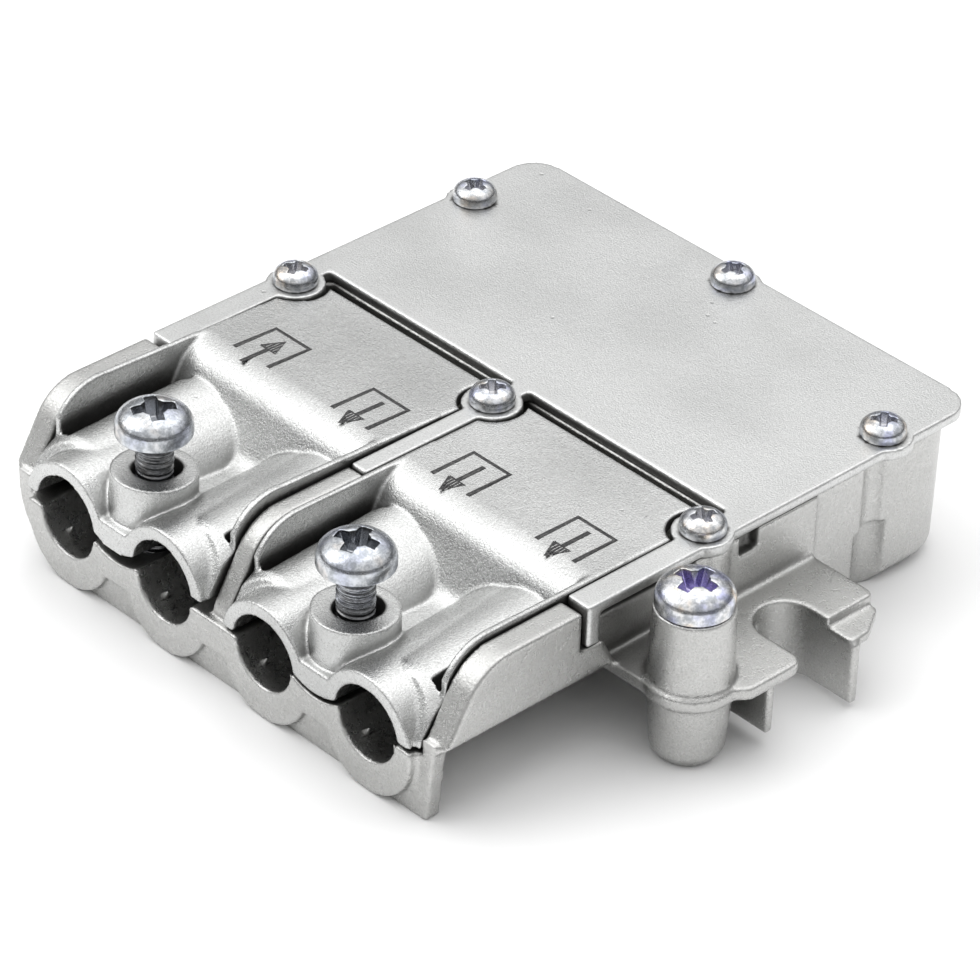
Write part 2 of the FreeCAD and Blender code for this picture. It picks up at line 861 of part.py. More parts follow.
def ground_screw():
    screw = pan_screw(screw_radius, ground_screw_length, screw_head_radius, screw_head_height)
    return placed(crossed(screw, screw_head_radius, screw_head_height), post_x, post_y,
                  top_height - post_drop)


def circuit_board():
    """Board of the splitting network, notched round the three rear screw columns."""
    half = chamber_half - board_gap
    rear = chamber_rear - board_gap
    corner = chamber_rear_round - board_gap
    board = prism_z([
        (-half, board_front, chamber_front_round),
        (half, board_front, chamber_front_round),
        (half, rear, corner),
        (-half, rear, corner),
    ], board_height - board_thickness, board_height)
    gap = column_radius + board_gap
    cuts = [block(x - gap, x + gap, y - gap, y + gap, 0, far) for x, y in screw_places[3:]]
    return minus(board, cuts)


def contact(x):
    """Centre contact: a round socket for the cable's wire and a flat blade that reaches the board."""
    socket_end = contact_front + contact_socket_length
    bore_end = socket_end - contact_socket_wall
    socket = rod_y(x, bore_axis_height, contact_radius, contact_front, socket_end)
    socket = socket.cut(rod_y(x, bore_axis_height, contact_bore_radius, contact_front - lap, bore_end))
    half_width_of_blade = contact_blade_width / 2
    blade = block(x - half_width_of_blade, x + half_width_of_blade, socket_end - lap,
                  board_front + contact_tail, board_height, board_height + contact_blade_thickness)
    return socket.fuse(blade).removeSplitter()


def square_y(x, half, y0, y1):
    return block(x - half, x + half, y0, y1, bore_axis_height - half, bore_axis_height + half)


def insulator(x):
    """Square plastic bush that carries the contact's blade through the wall of the box."""
    front = box_front - insulator_lead
    bush = square_y(x, insulator_half, front, chamber_front)
    flange = square_y(x, insulator_flange_half, chamber_front, chamber_front + insulator_flange)
    slot_half = contact_blade_width / 2 + contact_fit
    slot = block(x - slot_half, x + slot_half, front - lap, chamber_front + insulator_flange + lap,
                 board_height - contact_fit, board_height + contact_blade_thickness + contact_fit)
    return bush.fuse(flange).cut(slot).removeSplitter()


def right_carrier():
    """Plastic block that holds two contacts in line with their ports, with funnels to find them."""
    reach = port_pitch / 2 + carrier_side
    rear = carrier_front + carrier_length
    carrier = block(pair_x - reach, pair_x + reach, carrier_front, rear, well_floor_height,
                    well_floor_height + carrier_height)
    funnel_end = contact_front - contact_fit
    for x in (pair_x - port_pitch / 2, pair_x + port_pitch / 2):
        mouth = carrier_funnel_half
        lead = carrier_lead_half
        funnel = Part.makeWedge(-mouth, carrier_front, -mouth, -lead, -lead,
                                mouth, funnel_end, mouth, lead, lead)
        funnel.translate(Vector(x, 0, bore_axis_height))
        bore = rod_y(x, bore_axis_height, contact_radius + contact_fit, funnel_end, rear + lap)
        carrier = minus(carrier, [funnel, bore])
    return carrier


def ferrite_core(x, y):
    """Two-hole core of a splitting transformer, lying on the board."""
    core = block(x - core_width / 2, x + core_width / 2, y - core_length / 2, y + core_length / 2,
                 board_height, board_height + core_height)
    middle = board_height + core_height / 2
    holes = [rod_y(x + side * core_width / 4, middle, core_hole_radius, y - core_length, y + core_length)
             for side in (-1, 1)]
    return minus(core, holes)


def winding(x, y):
    """Loop of enamelled wire through both holes of a core."""
    middle = board_height + core_height / 2

    def loop(grow):
        half_x = core_width / 4 + grow
        half_y = core_length / 2 + wire_reach + grow
        return prism_z([
            (x - half_x, y - half_y, wire_round + grow),
            (x + half_x, y - half_y, wire_round + grow),
            (x + half_x, y + half_y, wire_round + grow),
            (x - half_x, y + half_y, wire_round + grow),
        ], middle - wire_size / 2, middle + wire_size / 2)

    return loop(wire_size / 2).cut(loop(-wire_size / 2))


def chip_group(places, height):
    chips = [block(x - chip_length / 2, x + chip_length / 2, y - chip_width / 2, y + chip_width / 2,
                   board_height, board_height + height) for x, y in places]
    return Part.makeCompound(chips)


def board_parts():
    """Transformers and chips of the splitting network, set out on the board."""
    parts = {}
    row = (chamber_front + chamber_rear) / 2
    for index, (x, y) in enumerate([(-pair_x, row), (0.0, row + core_stagger), (pair_x, row)]):
        parts["ferrite_core_%d" % (index + 1)] = ferrite_core(x, y)
        parts["transformer_winding_%d" % (index + 1)] = winding(x, y)
    chip_row = board_front + contact_tail + chip_gap
    parts["chip_capacitors"] = chip_group([(x, chip_row) for x in port_xs], capacitor_height)
    resistors = [(port_xs[1], row + resistor_shift), (port_xs[2], row + resistor_shift),
                 (port_xs[2], row)]
    parts["chip_resistors"] = chip_group(resistors, resistor_height)
    return parts


def build():
    right = right_clamp()
    parts = {
        "chassis": chassis(),
        "cover": cover(),
        "clamp_left": opened(mirrored(right), left_clamp_open_deg),
        "clamp_right": opened(right, right_clamp_open_deg),
        "clamp_screw_left": clamp_screw(-pair_x),
        "clamp_screw_right": clamp_screw(pair_x),
        "ground_screw": ground_screw(),
        "circuit_board": circuit_board(),
        "contact_carrier_left": mirrored(right_carrier()),
        "contact_carrier_right": right_carrier(),
    }
    for index, (x, y) in enumerate(screw_places):
        parts["cover_screw_%d" % (index + 1)] = cover_screw(x, y)
    for index, x in enumerate(port_xs):
        parts["centre_contact_%d" % (index + 1)] = contact(x)
        parts["port_insulator_%d" % (index + 1)] = insulator(x)
    parts.update(board_parts())
    return parts


def centre_on_footprint(parts):
    bounds = Part.makeCompound(list(parts.values())).BoundBox
    shift = Vector(-(bounds.XMin + bounds.XMax) / 2, -(bounds.YMin + bounds.YMax) / 2, -bounds.ZMin)
    for shape in parts.values():
        shape.translate(shift)
    print("shift", [round(value, 4) for value in shift])
    print("size", round(bounds.XLength, 3), round(bounds.YLength, 3), round(bounds.ZLength, 3))


def main():
    os.makedirs("parts", exist_ok=True)
    parts = build()
    centre_on_footprint(parts)
    for name, shape in parts.items():
        shape.exportStep("parts/" + name + ".step")
        print(name, "solids", len(shape.Solids), "valid", shape.isValid(), "volume", round(shape.Volume, 1))


main()
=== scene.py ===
# %% [markdown]
# # A die-cast splitter for coaxial cable
#
# The object is a small zinc splitter: four half-round ports in a row, two screw-down clamps over
# them, a flat lid held by six screws, and a lug with a grounding post on one side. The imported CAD
# model already gives every piece its true size and place. This notebook gives the pieces the soft
# edges, grain and colours of the real metal, and never moves them.

# %% The frame
import json
import math

import bmesh
import bpy
from mathutils import Matrix, Vector


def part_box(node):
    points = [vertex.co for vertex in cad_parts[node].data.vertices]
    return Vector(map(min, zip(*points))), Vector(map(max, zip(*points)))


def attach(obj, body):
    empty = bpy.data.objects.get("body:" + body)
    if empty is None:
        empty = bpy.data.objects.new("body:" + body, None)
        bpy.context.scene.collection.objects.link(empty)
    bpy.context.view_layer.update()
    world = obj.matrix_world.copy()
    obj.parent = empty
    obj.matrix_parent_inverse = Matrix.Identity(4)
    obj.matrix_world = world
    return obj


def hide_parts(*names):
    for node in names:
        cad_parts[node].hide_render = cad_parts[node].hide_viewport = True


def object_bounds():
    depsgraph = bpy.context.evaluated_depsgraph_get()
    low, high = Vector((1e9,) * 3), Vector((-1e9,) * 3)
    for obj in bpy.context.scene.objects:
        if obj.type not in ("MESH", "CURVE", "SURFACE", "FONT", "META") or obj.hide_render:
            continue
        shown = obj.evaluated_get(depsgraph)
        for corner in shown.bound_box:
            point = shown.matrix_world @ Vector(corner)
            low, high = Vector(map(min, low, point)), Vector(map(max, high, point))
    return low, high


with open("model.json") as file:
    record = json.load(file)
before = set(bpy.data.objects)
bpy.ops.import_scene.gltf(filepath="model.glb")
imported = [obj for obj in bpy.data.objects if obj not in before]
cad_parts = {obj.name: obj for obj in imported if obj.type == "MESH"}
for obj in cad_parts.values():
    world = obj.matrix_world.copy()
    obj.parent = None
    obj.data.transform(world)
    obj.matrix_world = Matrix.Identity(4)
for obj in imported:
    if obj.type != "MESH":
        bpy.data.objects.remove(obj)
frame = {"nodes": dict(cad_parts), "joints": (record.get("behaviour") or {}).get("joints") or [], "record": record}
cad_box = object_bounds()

print("CAD nodes:", len(frame["nodes"]))
print("CAD box in mm:", [[round(value * 1000, 2) for value in corner] for corner in cad_box])

# %% [markdown]
# ## Sizes
#
# Everything is in metres, so sizes are written as a number times mm. Places come from the frame: the
# ports from their mounts, the hinges from their joints and the screws from their boxes. Only the
# little that the clamps reach ahead of the ports is written here, as the frame doesn't give it.

# %% Sizes read from the frame
mm = 0.001
mounts = {mount["name"]: mount for mount in frame["record"]["mounts"]}
joints = {joint["name"]: joint for joint in frame["joints"]}
ports = [mounts["port_%d" % number] for number in (1, 2, 3, 4)]
port_radius = ports[0]["dims"]["r_mm"] * mm
clamp_lead = 0.31 * mm
port_front = cad_box[0].y + clamp_lead
lid_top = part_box("cover")[1].z

print("ports at x =", [round(port["pos_m"][0] / mm, 2) for port in ports], "mm")
print("lid top at", round(lid_top / mm, 2), "mm")

# %% [markdown]
# ## Camera
#
# The photo was taken with a long lens from the right front, a little tilted and not quite centred.
# A camera like that is set by where it looks, from which way and how far, and then by its lens. A
# small sideways shift stands for the crop, so that the perspective stays that of the real lens.

# %% Camera
picture_width = 980
sensor_width = 36.0
look_at = Vector((-0.293, -10.707, 8.571)) * mm
camera_azimuth = math.radians(46.286)
camera_elevation = math.radians(34.4)
camera_roll = math.radians(1.567)
camera_distance = 513.6 * mm
camera_side_step = 0.24 * mm
camera_rise = 4.49 * mm
focal_pixels = 5113
crop_offset = (38.4 / picture_width, 0.2 / picture_width)


def aimed_camera():
    """Camera that looks back along a direction given by azimuth and elevation, rolled about it."""
    back = Vector((
        math.sin(camera_azimuth) * math.cos(camera_elevation),
        -math.cos(camera_azimuth) * math.cos(camera_elevation),
        math.sin(camera_elevation),
    ))
    level_side = Vector((0, 0, 1)).cross(back).normalized()
    level_up = back.cross(level_side)
    side = level_side * math.cos(camera_roll) + level_up * math.sin(camera_roll)
    up = level_up * math.cos(camera_roll) - level_side * math.sin(camera_roll)
    eye = look_at + back * camera_distance + side * camera_side_step + up * camera_rise
    camera = bpy.data.objects.new("camera", bpy.data.cameras.new("camera"))
    bpy.context.scene.collection.objects.link(camera)
    turn = Matrix((side, up, back)).transposed().to_4x4()
    camera.matrix_world = Matrix.Translation(eye) @ turn
    camera.data.sensor_width = sensor_width
    camera.data.lens = focal_pixels * sensor_width / picture_width
    camera.data.shift_x, camera.data.shift_y = crop_offset
    camera.data.clip_start = 10 * mm
    camera.data.clip_end = 10.0
    return camera


bpy.context.scene.camera = aimed_camera()
print("lens", round(bpy.context.scene.camera.data.lens, 1), "mm")

# %% [markdown]
# ## Node maths in Python
#
# A material or a geometry tree is a graph of nodes, and building one link by link hides what it
# computes. The class below wraps one socket and lets it be added, multiplied and compared like a
# number, in either order, so that a formula in the notebook reads as a formula. Any other node
# comes from one method that takes its type, its settings and what goes into its sockets.

# %% A socket that works like a number
class Signal:
    """One output socket of a graph, used in formulas."""

    def __init__(self, graph, socket):
        self.graph = graph
        self.socket = socket

    def maths(self, operation, first, second=0.0, clamp=False):
        settings = {"operation": operation, "use_clamp": clamp}
        return self.graph.node("ShaderNodeMath", settings, {0: first, 1: second})

    def __add__(self, other):
        return self.maths("ADD", self, other)

    def __radd__(self, other):
        return self.maths("ADD", other, self)

    def __sub__(self, other):
        return self.maths("SUBTRACT", self, other)

    def __rsub__(self, other):
        return self.maths("SUBTRACT", other, self)

    def __mul__(self, other):
        return self.maths("MULTIPLY", self, other)

    def __rmul__(self, other):
        return self.maths("MULTIPLY", other, self)

    def __truediv__(self, other):
        return self.maths("DIVIDE", self, other)

    def __rtruediv__(self, other):
        return self.maths("DIVIDE", other, self)

    def __gt__(self, other):
        return self.maths("GREATER_THAN", self, other)

    def clamped(self):
        return self.maths("ADD", self, 0.0, clamp=True)

    def between(self, low, high):
        """How far the signal is from low to high, from 0 to 1."""
        settings = {"clamp": True, "interpolation_type": "SMOOTHSTEP"}
        return self.graph.node("ShaderNodeMapRange", settings, {0: self, 1: low, 2: high, 3: 0.0, 4: 1.0})


print("signals ready")

# %% A graph that makes its nodes from one method
class Graph:
    """Any node tree, for a material, the world or geometry."""

    def __init__(self, tree):
        self.tree = tree

    def node(self, kind, settings=None, inputs=None, output=0):
        made = self.tree.nodes.new(kind)
        for name, value in (settings or {}).items():
            if name == "stops":
                self.set_stops(made.color_ramp, value)
            else:
                setattr(made, name, value)
        for name, value in (inputs or {}).items():
            self.feed(made.inputs[name], value)
        return Signal(self, made.outputs[output]) if len(made.outputs) else made

    def set_stops(self, ramp, stops):
        while len(ramp.elements) > len(stops):
            ramp.elements.remove(ramp.elements[-1])
        while len(ramp.elements) < len(stops):
            ramp.elements.new(1.0)
        for element, (position, colour) in zip(ramp.elements, stops):
            element.position = position
            element.color = (*colour, 1.0)

    def feed(self, socket, value):
        if isinstance(value, Signal):
            self.tree.links.new(value.socket, socket)
        else:
            socket.default_value = value

    def blend(self, factor, first, second):
        """Colour between first and second."""
        settings = {"data_type": "RGBA"}
        inputs = {0: factor, 6: first, 7: second}
        return self.node("ShaderNodeMix", settings, inputs, output=2)


print("graphs ready")


# %% A material
class Finish(Graph):
    """A material whose formulas all end in one Principled shader."""

    def __init__(self, name, **constants):
        self.material = bpy.data.materials.new(name)
        self.material.use_nodes = True
        super().__init__(self.material.node_tree)
        self.shader = self.tree.nodes["Principled BSDF"]
        for socket, value in constants.items():
            self.shader.inputs[socket.replace("_", " ")].default_value = value
        self.place = self.node("ShaderNodeTexCoord", output="Object")

    def noise(self, size, detail=2.0, rough=0.5):
        """Soft random values whose features are about this large, in metres."""
        inputs = {"Vector": self.place, "Scale": 1.0 / size, "Detail": detail, "Roughness": rough}
        return self.node("ShaderNodeTexNoise", None, inputs)

    def specks(self, size):
        """Distance to the nearest of many scattered points, in point spacings."""
        inputs = {"Vector": self.place, "Scale": 1.0 / size, "Randomness": 1.0}
        return self.node("ShaderNodeTexVoronoi", {"feature": "F1"}, inputs, output="Distance")

    def shelter(self, low, high):
        """How much close metal stands round a point, from 0 below low to 1 above high."""
        level = self.node("ShaderNodeAttribute", {"attribute_name": "shelter"}, output="Fac")
        return level.between(low, high)

    def set(self, **inputs):
        for socket, value in inputs.items():
            self.feed(self.shader.inputs[socket.replace("_", " ")], value)

    def bump(self, height, depth, strength=1.0):
        inputs = {"Height": height, "Distance": depth, "Strength": strength}
        self.set(Normal=self.node("ShaderNodeBump", None, inputs))


print("finishes ready")

# %% [markdown]
# ## Blasted zinc
#
# Zinc die castings come out of the mould smooth and are then tumbled or blasted, which leaves a
# fine even grain over a bright neutral grey. The metal is not one value: the melt leaves slow
# clouds of slightly duller skin, and handling leaves specks. So the colour and roughness follow
# three noises of different size, and the grain itself is a bump some hundredths of a millimetre
# deep. Everything reads Object coordinates, so the grain sits still on a piece when it moves. Inner
# corners and gaps get a painted shade: their colour is darkened by how sheltered a point is, which
# will be measured further down and kept with it as a number.

# %% Cast metal
grain_size = 0.20 * mm
mottle_size = 0.9 * mm
cloud_size = 14 * mm
pit_spacing = 2.6 * mm
pit_patch_size = 9 * mm
speck_tone = (0.26, 0.26, 0.25, 1.0)
# Near-black tone of the painted shade in sheltered corners and gaps.
corner_shade_tone = (0.065, 0.062, 0.058, 1.0)


def cast_metal(name, tone, dull_tone, roughness, grain_depth):
    """Bare zinc casting with grain, slow clouds, scattered specks and painted shade in sheltered corners."""
    metal = Finish(name, Metallic=1.0)
    grain = metal.noise(grain_size, detail=3.0, rough=0.65)
    mottle = metal.noise(mottle_size, detail=4.0)
    cloud = metal.noise(cloud_size, detail=3.0).between(0.35, 0.7)
    pits = 1.0 - metal.specks(pit_spacing).between(0.05, 0.11)
    pitted = pits * (metal.noise(pit_patch_size) > 0.60)
    colour = metal.blend(cloud * 0.7 + mottle * 0.3, (*tone, 1.0), (*dull_tone, 1.0))
    colour = metal.blend((grain - 0.5) * 1.4 + 0.1 + pitted * 0.2, colour, speck_tone)
    # Painted shade: where a point is sheltered, its colour is darkened towards that tone as if shade fell there.
    painted_corner_shade = metal.shelter(0.22, 0.80)
    metal.set(Base_Color=metal.blend(painted_corner_shade * 0.9, colour, corner_shade_tone))
    metal.set(Roughness=roughness + (mottle - 0.5) * 0.16 + (grain - 0.5) * 0.14 + painted_corner_shade * 0.25)
    metal.bump(grain + mottle * 0.4 - pitted * 0.7, grain_depth)
    return metal.material


# The three castings share one zinc; their tones differ partly as painted shade, the body set darkest for its walls
# in the dim side light and the clamps a little below the lid.
body_metal = cast_metal("blasted_zinc_body", (0.62, 0.62, 0.61), (0.51, 0.51, 0.50), 0.29, 0.06 * mm)
cover_metal = cast_metal("blasted_zinc_cover", (0.745, 0.75, 0.745), (0.63, 0.635, 0.63), 0.32, 0.05 * mm)
clamp_metal = cast_metal("blasted_zinc_clamp", (0.69, 0.695, 0.69), (0.55, 0.555, 0.55), 0.26, 0.06 * mm)
print("cast metals:", body_metal.name, cover_metal.name, clamp_metal.name)

# %% [markdown]
# ## Plated screws
#
# The screws are steel with a thin bright zinc plating, passivated in a bath that leaves a faint
# blue or violet film. Where the film is thicker it turns towards orange. One slow noise moves the
# colour along that scale, and a very fine grain keeps the shine from looking like glass. The cross
# recess gets a painted shade, darker where it is sheltered and violet on the tinted screw, and the
# shank under the head, half sheltered, gets a painted shade too, darkest on the clamp screws.

# %% Screw metal
plating_tone = (0.60, 0.63, 0.67, 1.0)
smear_tone = (0.26, 0.28, 0.30, 1.0)
# Dark tone of the painted shade on the shank under the head.
shank_shade_tone = (0.09, 0.09, 0.092, 1.0)


def plated_steel(name, film, recess_shade_and_tint, shank_shade_share):
    """Zinc plating, with the share of its film and of the painted shade on the shank, each from 0 to 1."""
    metal = Finish(name, Metallic=1.0)
    grain = metal.noise(0.07 * mm, detail=2.0)
    smear = metal.noise(0.9 * mm, detail=5.0, rough=0.7)
    drift = metal.noise(2.6 * mm, detail=2.0)
    tint = metal.node("ShaderNodeValToRGB", {"stops": [
        (0.36, (0.60, 0.62, 0.86)),
        (0.47, (0.78, 0.79, 0.84)),
        (0.56, (0.86, 0.85, 0.84)),
        (0.66, (0.90, 0.76, 0.62)),
    ]}, {"Fac": drift})
    colour = metal.blend(film, plating_tone, tint)
    colour = metal.blend(smear.between(0.36, 0.64) * 0.75, colour, smear_tone)
    # Painted shade: the cross recess is coloured darker where it is sheltered, tinted violet on the tinted screw.
    cross = metal.shelter(0.42, 0.60)
    # Painted shade: the half-sheltered shank under the head is darkened, mottled by the smear noise.
    painted_shank_shade = metal.shelter(0.10, 0.26) * (1.0 - cross) * (0.7 + smear * 0.3) * shank_shade_share
    colour = metal.blend(painted_shank_shade, colour, shank_shade_tone)
    metal.set(Base_Color=metal.blend(cross * 0.8, colour, (*recess_shade_and_tint, 1.0)))
    metal.set(Roughness=0.20 + (smear - 0.5) * 0.40 + (grain - 0.5) * 0.20)
    metal.bump(grain + smear * 0.6, 0.014 * mm)
    return metal.material


# The clamp screws get the deepest painted shade on the shank, the other screws a faint one.
deep_shade_plating = plated_steel("zinc_plating_oiled", 0.3, (0.42, 0.43, 0.45), 1.0)
faint_shade_plating = plated_steel("zinc_plating_clean", 0.7, (0.60, 0.60, 0.62), 0.2)
tinted_plating = plated_steel("zinc_plating_tinted", 1.0, (0.52, 0.48, 0.70), 0.2)
print("screw metals:", deep_shade_plating.name, faint_shade_plating.name, tinted_plating.name)

# %% [markdown]
# ## Laser marks
#
# A laser burns the arrows into the blasted skin, and leaves a dark grey scale with a rough, broken
# edge. It is almost matt, and the gaps in it are a little lighter and warmer.

# %% Laser-burnt metal
def laser_scale():
    """Dark grey scale, broken where the beam left gaps."""
    scale = Finish("laser_mark", Metallic=0.35)
    broken = scale.noise(0.22 * mm, detail=3.0, rough=0.7)
    colour = scale.blend(broken.between(0.42, 0.72), (0.035, 0.035, 0.037, 1.0), (0.15, 0.147, 0.143, 1.0))
    scale.set(Base_Color=colour)
    scale.set(Roughness=0.55 + (broken - 0.5) * 0.3)
    scale.bump(broken, 0.02 * mm)
    return scale.material


mark_metal = laser_scale()
print("marks:", mark_metal.name)

# %% [markdown]
# ## Finishes of the hidden parts
#
# A closed box hides the circuit, but the pieces are there when the lid is taken away, so each gets
# the finish that it has on a bench: green mask over glass fibre, natural white plastic, tinned
# contacts, dull ferrite and enamelled wire.

# %% Small-part finishes
def plain_finish(name, colour, shade, roughness, metallic=0.0, grain=0.25):
    """Colour that drifts towards a shade, with a fine grain of its own."""
    finish = Finish(name, Metallic=metallic)
    drift = finish.noise(2.2 * mm, detail=3.0)
    fine = finish.noise(grain * mm, detail=2.0)
    finish.set(Base_Color=finish.blend(drift.between(0.3, 0.7), (*colour, 1.0), (*shade, 1.0)))
    finish.set(Roughness=roughness + (fine - 0.5) * 0.2)
    finish.bump(fine, 0.01 * mm)
    return finish.material


small_finishes = {
    "board": plain_finish("solder_mask", (0.02, 0.16, 0.07), (0.03, 0.21, 0.10), 0.35),
    "white_plastic": plain_finish("white_plastic", (0.80, 0.80, 0.76), (0.74, 0.74, 0.70), 0.45),
    "contact_brass": plain_finish("tinned_brass", (0.74, 0.70, 0.60), (0.68, 0.60, 0.42), 0.28, 1.0),
    "ferrite": plain_finish("ferrite", (0.035, 0.035, 0.04), (0.06, 0.06, 0.065), 0.6),
    "copper_wire": plain_finish("enamelled_wire", (0.62, 0.22, 0.09), (0.50, 0.16, 0.06), 0.25, 0.8),
    "chip_ceramic": plain_finish("chip_ceramic", (0.45, 0.33, 0.22), (0.36, 0.27, 0.19), 0.5),
}
slot_of = {part["node"]: part["material_slot"] for part in frame["record"]["subparts"]}
dressed = 0
for node, solid in frame["nodes"].items():
    if slot_of[node] in small_finishes:
        solid.data.materials.clear()
        solid.data.materials.append(small_finishes[slot_of[node]])
        dressed += 1
print("hidden parts dressed:", dressed)

# %% [markdown]
# ## From solid to casting
#
# A CAD solid has knife edges, and a casting has none: the mould is rounded, the metal draws in as
# it cools and the blasting rounds what is left. Bevelling every edge by hand is slow and fails on
# triangulated solids. Filling the solid with a fine grid of voxels, taking its skin and letting
# the skin relax for a few rounds gives the same soft edges everywhere at once. The flat parts then
# need far fewer triangles than the grid made, so the skin is thinned afterwards.

# %% Piece helpers
merge_gap = 0.002 * mm


def new_piece(name, mesh):
    piece = bpy.data.objects.new(name, mesh)
    bpy.context.scene.collection.objects.link(piece)
    return piece


def settle(piece):
    """Turn what a piece's modifiers make into its plain mesh."""
    bpy.context.view_layer.update()
    graph = bpy.context.evaluated_depsgraph_get()
    mesh = bpy.data.meshes.new_from_object(piece.evaluated_get(graph))
    piece.modifiers.clear()
    piece.data = mesh
    mesh.name = piece.name
    return piece


def triangle_count(piece):
    return sum(len(face.vertices) - 2 for face in piece.data.polygons)


def joined(name, pieces):
    """One mesh with copies of all the pieces in it."""
    whole = bmesh.new()
    for piece in pieces:
        whole.from_mesh(piece.data)
    mesh = bpy.data.meshes.new(name)
    whole.to_mesh(mesh)
    whole.free()
    return new_piece(name, mesh)


def merged_copy(node, name):
    """Copy of a CAD node with its loose triangles joined."""
    solid = bmesh.new()
    solid.from_mesh(frame["nodes"][node].data)
    bmesh.ops.remove_doubles(solid, verts=solid.verts, dist=merge_gap)
    mesh = bpy.data.meshes.new(name)
    solid.to_mesh(mesh)
    solid.free()
    return new_piece(name, mesh)


def soften(piece, voxel, rounds, most_triangles):
    """Give a closed piece the rounded edges of a casting."""
    grid = piece.modifiers.new("grid", "REMESH")
    grid.mode = "VOXEL"
    grid.voxel_size = voxel
    ease = piece.modifiers.new("ease", "SMOOTH")
    ease.factor = 0.5
    ease.iterations = rounds
    settle(piece)
    made = triangle_count(piece)
    if made > most_triangles:
        thin = piece.modifiers.new("thin", "DECIMATE")
        thin.ratio = most_triangles / made
        settle(piece)
    piece.data.polygons.foreach_set("use_smooth", [True] * len(piece.data.polygons))
    print(piece.name, "made", made, "triangles, kept", triangle_count(piece))
    return piece


def dress(piece, material, slot, body, *nodes):
    """Material, body and replaced nodes of a finished piece."""
    piece.data.materials.clear()
    piece.data.materials.append(material)
    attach(piece, body)
    if nodes:
        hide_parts(*nodes)
    return piece


print("piece helpers ready")

# %% [markdown]
# ## The four castings
#
# The chassis, the lid and the two clamps are separate castings with their own bodies, so each is
# softened by itself. The clamps have the finest forms and the finest grid.

# %% Castings
castings = [
    ("chassis", "body", body_metal, 0.24 * mm, 6, 190000),
    ("cover", "body", cover_metal, 0.20 * mm, 5, 60000),
    ("clamp_left", "clamp_left", clamp_metal, 0.18 * mm, 6, 120000),
    ("clamp_right", "clamp_right", clamp_metal, 0.18 * mm, 6, 120000),
]
finished = []
for node, body, material, voxel, rounds, most in castings:
    casting = soften(merged_copy(node, node + "_casting"), voxel, rounds, most)
    finished.append((casting, material, slot_of[node], body, [node]))

# %% [markdown]
# ## Geometry trees
#
# Things that repeat are best described by a rule: a thread is one tooth carried along a helix, the
# lid's screws are one screw set at six places, and the port teeth are one cone set at eight. Each
# rule is a small geometry tree with named inputs, built here and turned into a plain mesh.

# %% A tree with named inputs
class Rule(Graph):
    """Geometry tree with a geometry input, named sizes and a material."""

    kinds = {float: "NodeSocketFloat", bpy.types.Object: "NodeSocketObject"}

    def __init__(self, name, sizes):
        super().__init__(bpy.data.node_groups.new(name, "GeometryNodeTree"))
        face = self.tree.interface
        face.new_socket("Geometry", in_out="INPUT", socket_type="NodeSocketGeometry")
        for label, value in sizes.items():
            face.new_socket(label, in_out="INPUT", socket_type=self.kinds[type(value)])
        face.new_socket("Material", in_out="INPUT", socket_type="NodeSocketMaterial")
        face.new_socket("Geometry", in_out="OUTPUT", socket_type="NodeSocketGeometry")
        self.sizes = sizes
        self.entry = self.tree.nodes.new("NodeGroupInput")

    def size(self, label):
        return Signal(self, self.entry.outputs[label])

    def end(self, geometry):
        real = self.node("GeometryNodeRealizeInstances", None, {"Geometry": geometry})
        inputs = {"Geometry": real, "Material": self.size("Material")}
        last = self.node("GeometryNodeSetMaterial", None, inputs)
        self.node("NodeGroupOutput", None, {0: last})

    def grow(self, name, start, material):
        """Piece that the tree makes from a start mesh, as a plain mesh."""
        piece = new_piece(name, start)
        modifier = piece.modifiers.new("rule", "NODES")
        modifier.node_group = self.tree
        given = dict(self.sizes, Material=material)
        for item in self.tree.interface.items_tree:
            if item.item_type == "SOCKET" and item.in_out == "INPUT" and item.name in given:
                modifier[item.identifier] = given[item.name]
        return settle(piece)


def points_mesh(name, points, edges=(), **attributes):
    """Mesh of bare points and edges, with a number or a vector kept at each point."""
    mesh = bpy.data.meshes.new(name)
    mesh.from_pydata([tuple(point) for point in points], list(edges), [])
    for label, values in attributes.items():
        if isinstance(values[0], float):
            mesh.attributes.new(label, "FLOAT", "POINT").data.foreach_set("value", values)
        else:
            flat = [number for value in values for number in value]
            mesh.attributes.new(label, "FLOAT_VECTOR", "POINT").data.foreach_set("vector", flat)
    return mesh


print("geometry helpers ready")

# %% [markdown]
# ## Screws
#
# A pan-head screw is a turned shape: its outline is spun about the axis. The cross recess is cut
# out of the head, and the thread is a tooth carried up a helix. Head, shank and thread are then
# filled with one fine grid, which joins them as the forming dies would and rounds every edge.

# %% Thread rule
thread_share = 0.36


def thread_rule(radius, pitch, length):
    """Ridge along a helix, with a pointed section."""
    rule = Rule("thread", {"Radius": radius, "Pitch": pitch, "Length": length})
    turns = rule.size("Length") / rule.size("Pitch")
    helix = rule.node("GeometryNodeCurveSpiral", None, {
        "Resolution": 32,
        "Rotations": turns,
        "Start Radius": rule.size("Radius"),
        "End Radius": rule.size("Radius"),
        "Height": rule.size("Length"),
    })
    tooth = rule.node("GeometryNodeCurvePrimitiveCircle", {"mode": "RADIUS"}, {
        "Resolution": 4,
        "Radius": rule.size("Pitch") * thread_share,
    })
    ridge = rule.node("GeometryNodeCurveToMesh", None, {
        "Curve": helix,
        "Profile Curve": tooth,
        "Fill Caps": True,
    })
    rule.end(ridge)
    return rule


print("thread rule ready")


